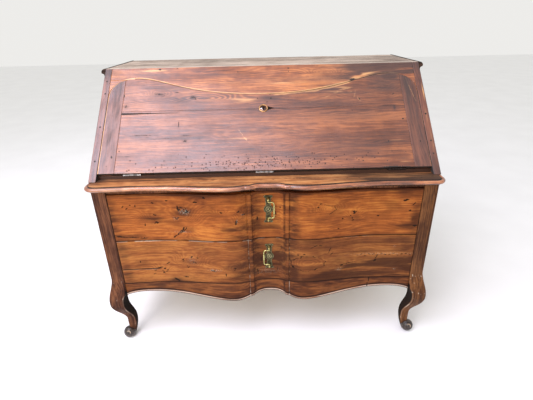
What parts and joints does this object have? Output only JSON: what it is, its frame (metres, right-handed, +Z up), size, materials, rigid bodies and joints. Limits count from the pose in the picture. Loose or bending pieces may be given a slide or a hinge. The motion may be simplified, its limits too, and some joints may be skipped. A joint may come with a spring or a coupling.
{
  "type": "slant-front desk",
  "caption": "Slant-front writing desk: a sloping lid with a serpentine top edge over a serpentine chest of long drawers with upright bail handles, on cabriole legs with scrolled toes.",
  "frame": {"origin": "on the floor, under the middle of the desk's box", "axes": "+X to the right as seen from the front, +Y to the back, +Z up"},
  "size_m": [1.2316, 0.764, 1.028],
  "materials": {
    "dark_walnut": "waxed, dark and worn",
    "front_walnut": "waxed figured walnut",
    "lid_wood": "waxed, reddish, with a soft sheen",
    "pale_top": "bleached and dull",
    "inner_wood": "bare poplar and pine",
    "bright_brass": "rubbed brass",
    "old_brass": "dark old brass",
    "iron": "dull wrought iron"
  },
  "bodies": {
    "case": {"front_left_leg": "dark_walnut", "front_right_leg": "dark_walnut", "back_left_leg": "dark_walnut", "back_right_leg": "dark_walnut", "left_lower_side": "front_walnut", "right_lower_side": "front_walnut", "left_upper_side": "lid_wood", "right_upper_side": "lid_wood", "left_stile": "lid_wood", "right_stile": "lid_wood", "top_board": "pale_top", "left_top_moulding": "dark_walnut", "right_top_moulding": "dark_walnut", "top_rail": "lid_wood", "left_corner_block": "lid_wood", "right_corner_block": "lid_wood", "lid_stops": "inner_wood", "upper_back_boards": "inner_wood", "lower_back_boards": "inner_wood", "front_ledge": "front_walnut", "left_ledge": "front_walnut", "right_ledge": "front_walnut", "back_ledge": "inner_wood", "ledge_bead": "front_walnut", "writing_board": "inner_wood", "apron": "dark_walnut", "back_bottom_rail": "inner_wood", "upper_front_rail": "dark_walnut", "drawer_divider": "dark_walnut", "drawer_runners": "inner_wood", "drawer_guides": "inner_wood", "gallery_uprights": "inner_wood", "gallery_shelves": "inner_wood", "lock_keep": "iron", "stile_pegs": "dark_walnut", "hinge_straps": "iron"},
    "lid": {"lid_upper_board": "lid_wood", "lid_lower_board": "lid_wood", "left_cleat": "lid_wood", "right_cleat": "lid_wood", "lock_case": "iron", "keyhole_ring": "bright_brass", "lid_hinge_leaves": "iron"},
    "lock_bolt": {"lock_bolt": "iron"},
    "upper_drawer": {"upper_drawer_front": "front_walnut", "upper_drawer_sides": "inner_wood", "upper_drawer_back": "inner_wood", "upper_drawer_bottom": "inner_wood", "upper_handle_plate": "old_brass"},
    "upper_bail": {"upper_bail": "bright_brass"},
    "lower_drawer": {"lower_drawer_front": "front_walnut", "lower_drawer_sides": "inner_wood", "lower_drawer_back": "inner_wood", "lower_drawer_bottom": "inner_wood", "lower_handle_plate": "old_brass"},
    "lower_bail": {"lower_bail": "bright_brass"},
    "left_small_drawer": {"left_small_drawer": "inner_wood", "left_knob": "bright_brass"},
    "right_small_drawer": {"right_small_drawer": "inner_wood", "right_knob": "bright_brass"}
  },
  "joints": [
    {"name": "lid_hinge", "type": "hinge", "parent": "case", "child": "lid", "pos_m": [0, -0.27778, 0.7126], "axis": [1, 0, 0], "range_deg": [0, 135.8]},
    {"name": "lock_bolt_slide", "type": "slide", "parent": "lid", "child": "lock_bolt", "axis": [0, 0.7176, 0.6964], "range_m": [0, 0.01]},
    {"name": "upper_drawer_slide", "type": "slide", "parent": "case", "child": "upper_drawer", "axis": [0, -1, 0], "range_m": [0, 0.42]},
    {"name": "lower_drawer_slide", "type": "slide", "parent": "case", "child": "lower_drawer", "axis": [0, -1, 0], "range_m": [0, 0.42]},
    {"name": "upper_bail_hinge", "type": "hinge", "parent": "upper_drawer", "child": "upper_bail", "pos_m": [0.01, -0.3125, 0.583], "axis": [0, 0, -1], "range_deg": [-15, 195]},
    {"name": "lower_bail_hinge", "type": "hinge", "parent": "lower_drawer", "child": "lower_bail", "pos_m": [0.01, -0.3125, 0.387], "axis": [0, 0, 1], "range_deg": [-15, 195]},
    {"name": "left_small_drawer_slide", "type": "slide", "parent": "case", "child": "left_small_drawer", "axis": [0, -1, 0], "range_m": [0, 0.2]},
    {"name": "right_small_drawer_slide", "type": "slide", "parent": "case", "child": "right_small_drawer", "axis": [0, -1, 0], "range_m": [0, 0.2]}
  ]
}
